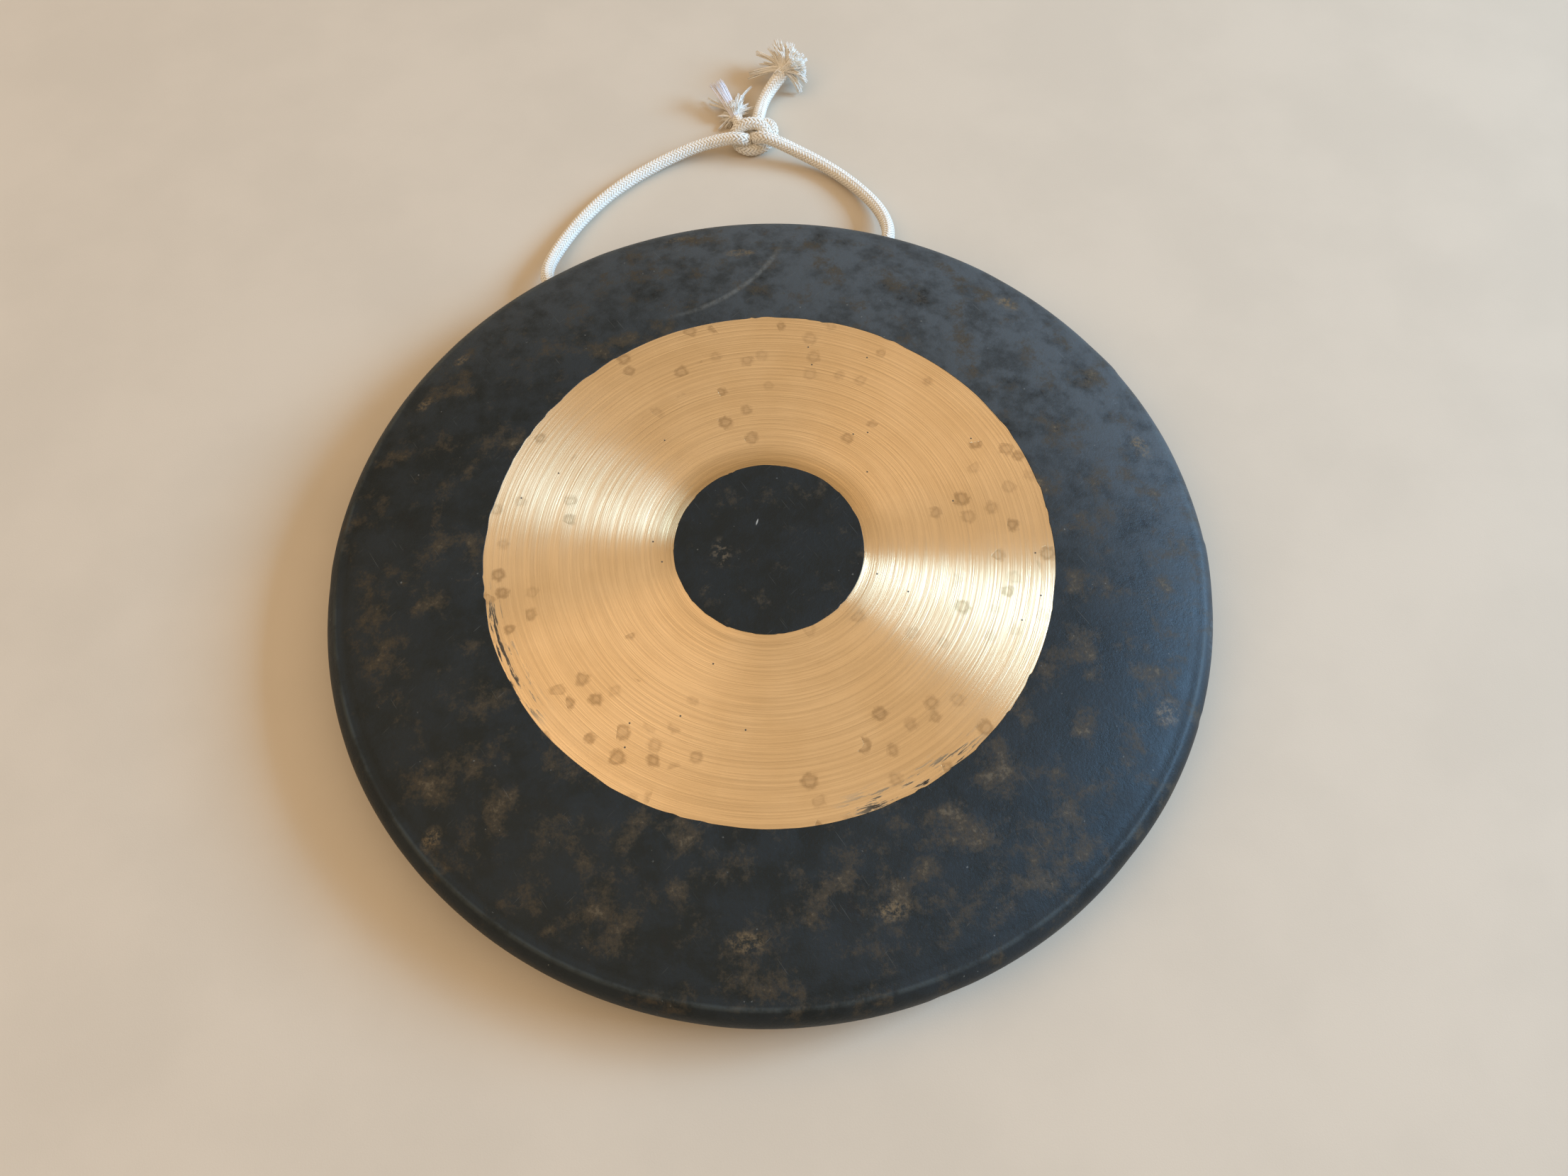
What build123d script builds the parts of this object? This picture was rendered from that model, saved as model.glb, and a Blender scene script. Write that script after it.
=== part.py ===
from build123d import *
import os
from math import cos, pi, radians, sin, tan

# A tam tam: a hammered bronze disc with a turned-back rim, lying face up, and the braided
# cotton cord that it is hung by. The cord passes through two holes in the rim, runs behind it,
# and its two ends are tied together in an overhand knot.
# Frame: millimetres, +Z up, origin at the centre of the disc on the plane of the rim's lower
# edge. +Y points midway between the two rim holes, towards the cord's loop.

# The disc
OUTER_RADIUS = 175.0  # widest point of the rounded shoulder
CENTRE_HEIGHT = 34.0  # top of the face above the rim's lower edge
CROWN_RADIUS, CROWN_DROP = 105.0, 0.5  # the nearly flat middle of the face
CORNER_HEIGHT = 22.0  # where face and rim would meet, if the shoulder were sharp
FACE_FALL = 16.0  # degrees, slope of the face where it reaches the shoulder
RIM_LEAN = 10.0  # degrees, the rim closes inwards below the shoulder
SHOULDER_RADIUS = 9.0
SHEET = 1.6  # thickness of the bronze
LIP_ROUND = 0.4

# The cord
CORD = 6.0  # diameter
HOLE_RADIUS = 4.0  # of each rim hole, a loose fit round the cord
HOLE_ANGLE = 26.0  # degrees from +Y to each hole, about the disc's centre
HOLE_HEIGHT = 10.3
PIVOT_RADIUS = 179.0  # where each strand starts to bend, just clear of the shoulder
PIVOT_GAP = 0.3  # between the strand's round end and the cord that stays in the rim
ARC_SHARE = 0.45  # of the shorter run, what each bend takes from it

pivot_x = PIVOT_RADIUS * sin(radians(HOLE_ANGLE))
pivot_y = PIVOT_RADIUS * cos(radians(HOLE_ANGLE))
stub_radius = PIVOT_RADIUS - CORD / 2 - PIVOT_GAP
stub_x = stub_radius * sin(radians(HOLE_ANGLE))
stub_y = stub_radius * cos(radians(HOLE_ANGLE))

BEHIND_RIM_ROUTE = [
    (-stub_x, stub_y, HOLE_HEIGHT),
    (-70.5, 144.5, 9.0),
    (-58.0, 133.5, 5.4),
    (-40.0, 129.0, 3.4),
    (-19.0, 127.5, 3.1),
    (4.0, 128.5, 3.1),
    (26.0, 131.5, 3.1),
    (45.0, 136.0, 3.5),
    (60.0, 142.0, 5.6),
    (70.0, 149.0, 9.2),
    (stub_x, stub_y, HOLE_HEIGHT),
]
LEFT_ROUTE = [
    (-pivot_x, pivot_y, HOLE_HEIGHT),
    (-79.3, 171.4, 7.8),
    (-72.5, 186.5, 5.2),
    (-60.0, 204.5, 3.6),
    (-43.5, 219.8, 3.1),
    (-23.5, 231.5, 3.2),
    (-2.5, 239.5, 5.4),
    (14.0, 238.6, 9.6),
    (23.0, 236.5, 11.5),
]
RIGHT_ROUTE = [
    (pivot_x, pivot_y, HOLE_HEIGHT),
    (81.5, 171.0, 7.8),
    (80.0, 186.5, 5.2),
    (71.0, 204.5, 3.5),
    (58.5, 219.0, 3.8),
    (43.0, 229.5, 7.4),
    (29.0, 235.5, 11.5),
]
LONG_TAIL_ROUTE = [
    (29.5, 246.5, 5.2),
    (32.2, 255.5, 3.9),
    (34.8, 264.5, 3.9),
    (40.4, 271.6, 6.2),
    (46.5, 276.5, 9.6),
]
SHORT_TAIL_ROUTE = [
    (22.5, 246.0, 4.8),
    (21.6, 251.5, 4.1),
    (20.3, 257.0, 4.6),
]

# The knot and the unravelled ends
KNOT_CENTRE = (26.5, 241.0, 9.0)
KNOT_LENGTH, KNOT_THICKNESS = 25.0, 17.4
LONG_BRUSH_DIRECTION = (0.5, 0.86, 0.1)
LONG_BRUSH_LENGTH = 13.0
LONG_BRUSH_WIDTH, LONG_BRUSH_THICKNESS = 24.0, 9.0
SHORT_BRUSH_DIRECTION = (-0.38, 0.92, 0.02)
SHORT_BRUSH_LENGTH = 9.0
SHORT_BRUSH_WIDTH, SHORT_BRUSH_THICKNESS = 20.0, 7.6
CORE_START = (20.0, 260.5, 5.4)
CORE_DIRECTION = (-0.48, 0.84, 0.28)
CORE_LENGTH, CORE_WIDTH, CORE_THICKNESS = 16.0, 9.5, 3.8
CORE_ROUND = 1.6


def bend_radii(route):
    """The radius of each bend of a cord that passes by these points."""
    corners = [Vector(p) for p in route]
    runs = [b - a for a, b in zip(corners, corners[1:])]
    radii = []
    for before, after in zip(runs, runs[1:]):
        half_turn = radians(before.get_angle(after)) / 2
        radii.append(ARC_SHARE * min(before.length, after.length) / tan(half_turn))
    return radii


def cord_path(name, route):
    """Straight runs joined by tangent arcs."""
    radii = bend_radii(route)
    with BuildLine() as path:
        FilletPolyline(*route, radius=radii)
    length = path.wire().length
    print(name, "length", round(length, 1), "radii", [round(r, 1) for r in radii])
    return path.wire()


def section_plane(path):
    """The plane across the start of a cord."""
    return Plane(origin=path @ 0, z_dir=path % 0)


def check_volume(name, part, path):
    """How the tube's volume compares with its section times its length."""
    expected = pi * CORD**2 / 4 * path.length
    print(name, "volume / (section x length)", round(part.volume / expected, 4))


# The disc: face, shoulder and rim in one sheet, hollow behind, with the two rim holes
lean, fall = radians(RIM_LEAN), radians(FACE_FALL)
corner_overhang = (cos(lean) + sin(fall)) / (1 + sin(fall - lean))
corner_radius = OUTER_RADIUS + SHOULDER_RADIUS * (corner_overhang - 1)
lip_radius = corner_radius - CORNER_HEIGHT * tan(lean)

with BuildPart() as gong_disc:
    with BuildSketch(Plane.XZ):
        with BuildLine():
            crown = TangentArc(
                (0, CENTRE_HEIGHT), (CROWN_RADIUS, CENTRE_HEIGHT - CROWN_DROP), tangent=(1, 0)
            )
            slope = TangentArc(crown @ 1, (corner_radius, CORNER_HEIGHT), tangent=crown % 1)
            Polyline(slope @ 1, (lip_radius, 0), (0, 0), crown @ 0)
        make_face()
    revolve(axis=Axis.Z)
    rings = gong_disc.edges().filter_by(GeomType.CIRCLE).filter_by(Plane.XY)
    shoulder = rings.group_by(Axis.Z)[-2]
    fillet(shoulder, radius=SHOULDER_RADIUS)
    underside = gong_disc.faces().sort_by(Axis.Z)[0]
    offset(amount=-SHEET, openings=underside)
    rings = gong_disc.edges().filter_by(GeomType.CIRCLE).filter_by(Plane.XY)
    lip_edges = rings.group_by(Axis.Z)[0]
    fillet(lip_edges, radius=LIP_ROUND)
    for side in (-1, 1):
        outward = (side * sin(radians(HOLE_ANGLE)), cos(radians(HOLE_ANGLE)), 0)
        at_rim = Vector(outward) * OUTER_RADIUS + Vector(0, 0, HOLE_HEIGHT)
        with BuildSketch(Plane(origin=at_rim, z_dir=outward)):
            Circle(HOLE_RADIUS)
        extrude(amount=-4 * SHOULDER_RADIUS, mode=Mode.SUBTRACT)
gong_disc.part.label = "gong_disc"

# The cord behind the rim, from one hole to the other
behind_rim_path = cord_path("cord_behind_rim", BEHIND_RIM_ROUTE)
with BuildPart() as cord_behind_rim:
    with BuildSketch(section_plane(behind_rim_path)):
        Circle(CORD / 2)
    sweep(path=behind_rim_path)
check_volume("cord_behind_rim", cord_behind_rim.part, behind_rim_path)
cord_behind_rim.part.label = "cord_behind_rim"

# The two strands of the loop, each with a round end at its hole that turns in place
left_path = cord_path("cord_left", LEFT_ROUTE)
with BuildPart() as cord_left:
    with BuildSketch(section_plane(left_path)):
        Circle(CORD / 2)
    sweep(path=left_path)
    with Locations(LEFT_ROUTE[0]):
        Sphere(CORD / 2)
check_volume("cord_left", cord_left.part, left_path)
cord_left.part.label = "cord_left"

right_path = cord_path("cord_right", RIGHT_ROUTE)
with BuildPart() as cord_right:
    with BuildSketch(section_plane(right_path)):
        Circle(CORD / 2)
    sweep(path=right_path)
    with Locations(RIGHT_ROUTE[0]):
        Sphere(CORD / 2)
check_volume("cord_right", cord_right.part, right_path)
cord_right.part.label = "cord_right"

# The overhand knot, as one solid of its outer shape
with BuildPart() as cord_knot:
    with BuildSketch(Plane(origin=KNOT_CENTRE, x_dir=(1, 0, 0), z_dir=(0, -1, 0))):
        Ellipse(KNOT_LENGTH / 2, KNOT_THICKNESS / 2)
        split(bisect_by=Plane.XZ, keep=Keep.TOP)
    revolve(axis=Axis(KNOT_CENTRE, (1, 0, 0)))
cord_knot.part.label = "cord_knot"

# The two tails that leave the knot
long_tail_path = cord_path("tail_long", LONG_TAIL_ROUTE)
with BuildPart() as tail_long:
    with BuildSketch(section_plane(long_tail_path)):
        Circle(CORD / 2)
    sweep(path=long_tail_path)
check_volume("tail_long", tail_long.part, long_tail_path)
tail_long.part.label = "tail_long"

short_tail_path = cord_path("tail_short", SHORT_TAIL_ROUTE)
with BuildPart() as tail_short:
    with BuildSketch(section_plane(short_tail_path)):
        Circle(CORD / 2)
    sweep(path=short_tail_path)
check_volume("tail_short", tail_short.part, short_tail_path)
tail_short.part.label = "tail_short"

# The unravelled ends, each a flat fan of yarn that widens from the end of its tail
long_brush_start = Plane(
    origin=LONG_TAIL_ROUTE[-1],
    x_dir=(LONG_BRUSH_DIRECTION[1], -LONG_BRUSH_DIRECTION[0], 0),
    z_dir=LONG_BRUSH_DIRECTION,
)
with BuildPart() as frayed_end_long:
    with BuildSketch(long_brush_start):
        Circle(CORD / 2)
    with BuildSketch(long_brush_start.offset(LONG_BRUSH_LENGTH)):
        Ellipse(LONG_BRUSH_WIDTH / 2, LONG_BRUSH_THICKNESS / 2)
    loft()
frayed_end_long.part.label = "frayed_end_long"

short_brush_start = Plane(
    origin=SHORT_TAIL_ROUTE[-1],
    x_dir=(SHORT_BRUSH_DIRECTION[1], -SHORT_BRUSH_DIRECTION[0], 0),
    z_dir=SHORT_BRUSH_DIRECTION,
)
with BuildPart() as frayed_end_short:
    with BuildSketch(short_brush_start):
        Circle(CORD / 2)
    with BuildSketch(short_brush_start.offset(SHORT_BRUSH_LENGTH)):
        Ellipse(SHORT_BRUSH_WIDTH / 2, SHORT_BRUSH_THICKNESS / 2)
    loft()
frayed_end_short.part.label = "frayed_end_short"

# The flat bundle of core fibres that stands out of the short end
core_start = Plane(
    origin=CORE_START,
    x_dir=(CORE_DIRECTION[1], -CORE_DIRECTION[0], 0),
    z_dir=CORE_DIRECTION,
)
with BuildPart() as core_end_short:
    with BuildSketch(core_start):
        RectangleRounded(CORE_WIDTH, CORE_THICKNESS, CORE_ROUND)
    extrude(amount=CORE_LENGTH)
core_end_short.part.label = "core_end_short"

os.makedirs("parts", exist_ok=True)
export_step(gong_disc.part, "parts/gong_disc.step")
export_step(cord_behind_rim.part, "parts/cord_behind_rim.step")
export_step(cord_left.part, "parts/cord_left.step")
export_step(cord_right.part, "parts/cord_right.step")
export_step(cord_knot.part, "parts/cord_knot.step")
export_step(tail_long.part, "parts/tail_long.step")
export_step(tail_short.part, "parts/tail_short.step")
export_step(frayed_end_long.part, "parts/frayed_end_long.step")
export_step(frayed_end_short.part, "parts/frayed_end_short.step")
export_step(core_end_short.part, "parts/core_end_short.step")
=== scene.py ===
import math

import bpy
import numpy as np
from mathutils import Matrix, Vector
from mathutils.bvhtree import BVHTree


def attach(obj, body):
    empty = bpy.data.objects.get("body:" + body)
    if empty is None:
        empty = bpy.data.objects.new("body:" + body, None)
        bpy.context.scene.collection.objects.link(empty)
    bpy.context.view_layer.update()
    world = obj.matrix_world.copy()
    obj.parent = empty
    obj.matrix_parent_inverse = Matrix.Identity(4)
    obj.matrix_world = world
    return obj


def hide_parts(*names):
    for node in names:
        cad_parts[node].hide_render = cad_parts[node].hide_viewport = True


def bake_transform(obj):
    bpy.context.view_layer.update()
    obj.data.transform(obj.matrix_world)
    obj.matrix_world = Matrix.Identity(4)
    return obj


# A tam tam of hammered bronze, lying face up, and the braided cotton cord that it is hung by.
# Metres, in the CAD frame: origin at the centre of the disc on the floor, +Y towards the cord's loop.

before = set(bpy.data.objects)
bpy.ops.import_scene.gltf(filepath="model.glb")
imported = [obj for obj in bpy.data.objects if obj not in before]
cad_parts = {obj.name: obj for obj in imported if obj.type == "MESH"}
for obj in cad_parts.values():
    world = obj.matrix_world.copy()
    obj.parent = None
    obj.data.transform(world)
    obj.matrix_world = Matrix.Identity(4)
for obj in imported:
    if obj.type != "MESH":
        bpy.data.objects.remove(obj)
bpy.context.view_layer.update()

# The cord
PITCH = 0.0166  # along the cord, for one turn of a yarn about it
CARRIERS = 10  # yarns that wind each way
BRAID_STEP = 0.0006  # between the sections of a yarn
LEFT_STRAND = [
    (-0.0760, 0.1559, 0.0103),
    (-0.0785, 0.1609, 0.0103),
    (-0.0793, 0.1714, 0.0078),
    (-0.0725, 0.1865, 0.0052),
    (-0.0600, 0.2045, 0.0036),
    (-0.0435, 0.2198, 0.0033),
    (-0.0235, 0.2315, 0.0034),
    (-0.0025, 0.2388, 0.0056),
    (0.0135, 0.2378, 0.0094),
    (0.0198, 0.2358, 0.0107),
    (0.0234, 0.2366, 0.0076),
    (0.0236, 0.2425, 0.0042),
    (0.0228, 0.2480, 0.0036),
    (0.0218, 0.2520, 0.0036),
    (0.0207, 0.2556, 0.0040),
]
RIGHT_STRAND = [
    (0.0760, 0.1559, 0.0103),
    (0.0785, 0.1609, 0.0103),
    (0.0815, 0.1710, 0.0078),
    (0.0800, 0.1865, 0.0052),
    (0.0710, 0.2045, 0.0036),
    (0.0585, 0.2190, 0.0040),
    (0.0430, 0.2290, 0.0078),
    (0.0356, 0.2322, 0.0106),
    (0.0304, 0.2346, 0.0114),
    (0.0274, 0.2370, 0.0076),
    (0.0274, 0.2435, 0.0042),
    (0.0312, 0.2492, 0.0048),
    (0.0362, 0.2480, 0.0056),
    (0.0372, 0.2425, 0.0054),
    (0.0345, 0.2375, 0.0040),
    (0.0295, 0.2350, 0.0033),
    (0.0235, 0.2347, 0.0033),
    (0.0192, 0.2378, 0.0036),
    (0.0178, 0.2418, 0.0066),
    (0.0200, 0.2432, 0.0102),
    (0.0250, 0.2432, 0.0124),
    (0.0305, 0.2420, 0.0122),
    (0.0338, 0.2392, 0.0094),
    (0.0318, 0.2378, 0.0060),
    (0.0290, 0.2405, 0.0048),
    (0.0295, 0.2455, 0.0068),
    (0.0308, 0.2505, 0.0078),
    (0.0325, 0.2570, 0.0052),
    (0.0350, 0.2645, 0.0042),
    (0.0404, 0.2716, 0.0062),
    (0.0465, 0.2765, 0.0096),
]
BEHIND_RIM = [
    (-0.0760, 0.1559, 0.0103),
    (-0.0705, 0.1445, 0.0090),
    (-0.0580, 0.1335, 0.0056),
    (-0.0400, 0.1290, 0.0035),
    (-0.0190, 0.1275, 0.0033),
    (0.0040, 0.1285, 0.0033),
    (0.0260, 0.1315, 0.0033),
    (0.0450, 0.1360, 0.0036),
    (0.0600, 0.1420, 0.0058),
    (0.0700, 0.1490, 0.0092),
    (0.0760, 0.1559, 0.0103),
]

# The disc
SEGMENTS = 480
CENTRE_DISC = 0.0369  # radius of the dark disc in the middle
SCRAPED_RING = 0.1106  # outer radius of the ring scraped down to bright bronze
OXIDE = 0.00012  # how much the scraper took off
STEP_WIDTH = 0.00015  # between the rows either side of such a step
EDGE_REACH = 0.006  # how far from a step the rows follow its uneven edge
SHOULDER_CENTRE = (0.166, 0.01555)  # radius and height of the middle of the shoulder's bend
FACE_END = 0.164  # radius where the shoulder begins
CREASE = 0.1700  # radius of the low ridge along the near part of the shoulder
CREASE_FACING = math.radians(-115)  # the direction where that ridge is highest
CREASE_RIDGE = (CREASE, 0.0010, 0.00030)  # radius, half width and height
CREASE_GROOVE = (CREASE - 0.0032, 0.0014, 0.00026)  # radius, half width and depth
VALLEY = (CENTRE_DISC + 0.0028, 0.0016, 0.00022)  # radius, half width and depth of the scraper's dip
RIM_TOP, RIM_FOOT = 0.0135, 0.0012  # heights between which the rim is straight
BEATEN, BLOWS = 0.165, 90  # radius that the hammer has worked over, and how many blows it shows
HOLE_RADIUS, HOLE_ANGLE, HOLE_HEIGHT = 0.004, math.radians(26), 0.0103


# ---------------------------------------------------------------- camera


def make_camera():
    """The camera of the photograph, which looks down on the disc from the near side."""
    data = bpy.data.cameras.new("camera")
    data.sensor_width, data.lens = 36.0, 28.48
    camera = bpy.data.objects.new("camera", data)
    turn = Matrix.Rotation(math.radians(-7.9), 4, "Z")
    tilt = Matrix.Rotation(math.radians(25.53), 4, "X")
    roll = Matrix.Rotation(math.radians(-0.8), 4, "Z")
    camera.matrix_world = Matrix.Translation((-0.0249, -0.2202, 0.4607)) @ turn @ tilt @ roll
    bpy.context.scene.collection.objects.link(camera)
    bpy.context.scene.camera = camera


# ---------------------------------------------------------------- meshes


class Shape:
    """Collects vertices, faces and a per-vertex strand value, and makes one mesh object of them."""

    def __init__(self):
        self.places, self.strands, self.faces, self.count = [], [], [], 0

    def tube(self, rings, strand):
        """A closed tube through rings (sections, sides, 3), with its strand values beside it."""
        sections, sides = rings.shape[:2]
        grid = self.count + np.arange(sections * sides).reshape(sections, sides)
        ahead = np.roll(grid, -1, axis=1)
        quads = np.stack([grid[:-1], ahead[:-1], ahead[1:], grid[1:]], axis=-1)
        self.faces += quads.reshape(-1, 4).tolist()
        self.faces += [grid[0, ::-1].tolist(), grid[-1].tolist()]
        self.places.append(rings.reshape(-1, 3))
        self.strands.append(strand.reshape(-1, 3))
        self.count += sections * sides

    def make(self, name, material):
        mesh = bpy.data.meshes.new(name)
        mesh.from_pydata(np.concatenate(self.places).tolist(), [], self.faces)
        values = mesh.attributes.new("strand", "FLOAT_VECTOR", "POINT")
        values.data.foreach_set("vector", np.concatenate(self.strands).astype(np.float32).ravel())
        mesh.shade_smooth()
        mesh.materials.append(material)
        made = bpy.data.objects.new(name, mesh)
        bpy.context.scene.collection.objects.link(made)
        return made


def unit(vectors):
    return vectors / np.linalg.norm(vectors, axis=-1, keepdims=True)


def spline_line(route, step):
    """Points about a step apart along the NURBS spline whose control points are the route."""
    curve = bpy.data.curves.new("route", "CURVE")
    curve.dimensions, curve.resolution_u = "3D", 48
    spline = curve.splines.new("NURBS")
    spline.points.add(len(route) - 1)
    for point, place in zip(spline.points, route):
        point.co = (*place, 1.0)
    spline.order_u = 3
    spline.use_endpoint_u = True
    holder = bpy.data.objects.new("route", curve)
    mesh = bpy.data.meshes.new_from_object(holder)
    line = np.array([v.co for v in mesh.vertices])
    bpy.data.objects.remove(holder)
    bpy.data.meshes.remove(mesh)
    bpy.data.curves.remove(curve)
    runs = np.linalg.norm(np.diff(line, axis=0), axis=1)
    along = np.concatenate(([0.0], np.cumsum(runs)))
    stations = np.linspace(0.0, along[-1], int(along[-1] / step) + 2)
    return np.stack([np.interp(stations, along, line[:, k]) for k in range(3)], axis=1), stations


def cross_axes(line):
    """Two axes across a line at each of its points, turning with it and not about it."""
    tangents = unit(np.gradient(line, axis=0))
    start = np.cross(tangents[0], (0.0, 0.0, 1.0))
    if np.linalg.norm(start) < 0.1:
        start = np.cross(tangents[0], (0.0, 1.0, 0.0))
    sideways = [start / np.linalg.norm(start)]
    for tangent in tangents[1:]:
        carried = sideways[-1] - tangent * (sideways[-1] @ tangent)
        sideways.append(carried / np.linalg.norm(carried))
    sideways = np.array(sideways)
    return sideways, np.cross(tangents, sideways)


def yarn_rings(line, outward, half_width, half_thickness, sides, stations, seed):
    """Flat oval sections along a yarn that lies across outward, and their strand values."""
    tangents = unit(np.gradient(line, axis=0))
    across = unit(np.cross(tangents, outward))
    up = np.cross(across, tangents)
    angles = np.arange(sides) * 2 * math.pi / sides
    wide = np.broadcast_to(half_width, len(line))[:, None, None]
    thick = np.broadcast_to(half_thickness, len(line))[:, None, None]
    rings = (
        line[:, None, :]
        + wide * np.cos(angles)[None, :, None] * across[:, None, :]
        + thick * np.sin(angles)[None, :, None] * up[:, None, :]
    )
    strand = np.zeros((len(line), sides, 3))
    strand[..., 0] = stations[:, None]
    strand[..., 1] = np.cos(angles)[None, :]
    strand[..., 2] = seed
    return rings, strand


# ---------------------------------------------------------------- cord


BRAID_RADIUS, BRAID_WAVE = 0.00245, 0.00030  # of the yarns' middles, and how far they weave
YARN_WIDTH, YARN_THICKNESS = 0.00066, 0.00038  # half of each
CORE_RADIUS = 0.00225
SLACK_TAIL = 0.020  # at a free end, where the braid loosens and swells
SHEATH_YARN, BRUSH_YARN = 0.00056, 0.00102  # radius of a yarn at the short end and at the long end
CORE_TIP = (0.0131, 0.2738, 0.0106)  # where the core of the short end reaches


def braided_cord(name, route, material, swelling=0.0):
    """A round braid of yarns, each over two and under two, on a core. Returns the piece and its line."""
    line, stations = spline_line(route, BRAID_STEP)
    sideways, upward = cross_axes(line)
    loose = np.clip(1 - (stations[-1] - stations) / SLACK_TAIL, 0, 1)
    girth = 1 + swelling * loose * loose * (3 - 2 * loose)
    shape = Shape()
    crossings = 2 * CARRIERS * stations / PITCH
    for way in (1, -1):
        for carrier in range(CARRIERS):
            turn = way * 2 * math.pi * stations / PITCH + 2 * math.pi * carrier / CARRIERS
            phase = way * crossings + 2 * carrier
            lift = way * np.cos(2 * math.pi * (phase - 0.5) / 4)
            outward = np.cos(turn)[:, None] * sideways + np.sin(turn)[:, None] * upward
            yarn = line + (girth * (BRAID_RADIUS + BRAID_WAVE * lift))[:, None] * outward
            seed = carrier + (CARRIERS if way > 0 else 0)
            shape.tube(*yarn_rings(yarn, outward, girth * YARN_WIDTH, YARN_THICKNESS, 8, stations, seed))
    # the core, which the cotton paints dark brown: painted shade where it shows between the yarns
    core = girth * CORE_RADIUS
    shape.tube(*yarn_rings(line, upward, core, core, 16, stations, -1.0))
    return shape.make(name, material), line, stations[-1]


def bent_line(root, bend, tip, count=14):
    """A smooth line from root to tip, drawn towards bend on its way."""
    share = np.linspace(0, 1, count)[:, None]
    root, bend, tip = np.array(root), np.array(bend), np.array(tip)
    return root * (1 - share) ** 2 + 2 * bend * share * (1 - share) + tip * share**2


def loose_fibres(shape, line, girth, flare, count, chance):
    """Fibres that keep together along a line, twist a little, and part at its end."""
    share = np.linspace(0, 1, len(line))
    sideways, upward = cross_axes(line)
    stations = share * np.linalg.norm(np.diff(line, axis=0), axis=1).sum()
    for _ in range(count):
        place = math.sqrt(chance.uniform(0.0, 1.0)) * girth * (0.8 + flare * share**2)
        turn = chance.uniform(0, 2 * math.pi) + chance.uniform(0.8, 2.2) * share
        outward = np.cos(turn)[:, None] * sideways + np.sin(turn)[:, None] * upward
        fibre = line + place[:, None] * outward
        fibre[:, 2] = np.maximum(fibre[:, 2], 0.4 * girth)
        kept = chance.integers(len(line) - 2, len(line) + 1)
        thick = girth * chance.uniform(0.18, 0.28) * np.ones(kept)
        thick[-1] *= 0.6
        seed = chance.uniform(0, 9)
        shape.tube(*yarn_rings(fibre[:kept], outward[:kept], thick, thick, 5, stations[:kept], seed))


def fan_of_yarns(name, root, axis, yarns, girth, material, seed):
    """Cut yarns that leave a braid's end along its axis and bend away, each to its own tip."""
    chance = np.random.default_rng(seed)
    shape = Shape()
    root, axis = np.array(root), unit(np.array(axis))
    for tip in map(np.array, yarns):
        reach = np.linalg.norm(tip - root)
        start = root - 0.002 * axis + chance.normal(0, 0.0010, 3)
        bend = root + axis * reach * chance.uniform(0.25, 0.45) + chance.normal(0, 0.0006, 3)
        start[2], bend[2] = max(start[2], girth), max(bend[2], girth)
        loose_fibres(shape, bent_line(start, bend, tip), girth, 0.28, 18, chance)
    return shape.make(name, material)


def brush_tips():
    """Where the yarns of the long end reach: a fan that opens from far left round to near right."""
    chance = np.random.default_rng(21)
    heart = np.array(RIGHT_STRAND[-1]) + (0.0005, 0.0015, 0.0)
    tips = []
    for azimuth in np.radians(np.linspace(-48, 104, 14)):
        for rise in np.radians((-22, 6, 32, 60)):
            turn, lift = azimuth + chance.normal(0, 0.09), rise + chance.normal(0, 0.12)
            reach = chance.uniform(0.0115, 0.0140) + 0.0030 * max(0.0, math.sin(turn)) ** 3
            way = (math.cos(turn) * math.cos(lift), math.sin(turn) * math.cos(lift), math.sin(lift))
            tip = heart + reach * np.array(way)
            tip[2] = min(max(tip[2], 0.0012), 0.0170)
            tips.append(tip)
    strays = [(0.0364, 0.2960, 0.0070), (0.0392, 0.2930, 0.0080), (0.0375, 0.2915, 0.0040),
              (0.0310, 0.2835, 0.0055), (0.0299, 0.2822, 0.0035), (0.0549, 0.2712, 0.0014)]
    return tips + strays


def sheath_tips():
    """Where the sheath yarns of the short end reach: low on the left, and in a ruff about the core."""
    chance = np.random.default_rng(8)
    tips = [(0.0122, 0.2574, 0.0015), (0.0159, 0.2562, 0.0015), (0.0110, 0.2526, 0.0012),
            (0.0142, 0.2530, 0.0012), (0.0163, 0.2532, 0.0012), (0.0087, 0.2701, 0.0016),
            (0.0084, 0.2738, 0.0020), (0.0128, 0.2700, 0.0040), (0.0234, 0.2677, 0.0085),
            (0.0246, 0.2672, 0.0075), (0.0309, 0.2763, 0.0040), (0.0286, 0.2739, 0.0040),
            (0.0261, 0.2701, 0.0040), (0.0277, 0.2650, 0.0030), (0.0226, 0.2690, 0.0050)]
    ruffs = [(16, (0.0215, 0.2585), (0.2, 2.2), (0.005, 0.010), 0.0060),
             (12, (0.0200, 0.2590), (2.2, 4.3), (0.004, 0.009), 0.0050)]
    for count, (x, y), turns, reaches, top in ruffs:
        for _ in range(count):
            turn, reach = chance.uniform(*turns), chance.uniform(*reaches)
            tips.append((x + reach * math.cos(turn), y + reach * math.sin(turn),
                         chance.uniform(0.0012, top)))
    for _ in range(12):
        tips.append((chance.uniform(0.0150, 0.0225), chance.uniform(0.2585, 0.2630),
                     chance.uniform(0.0085, 0.0105)))
    return tips


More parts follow.
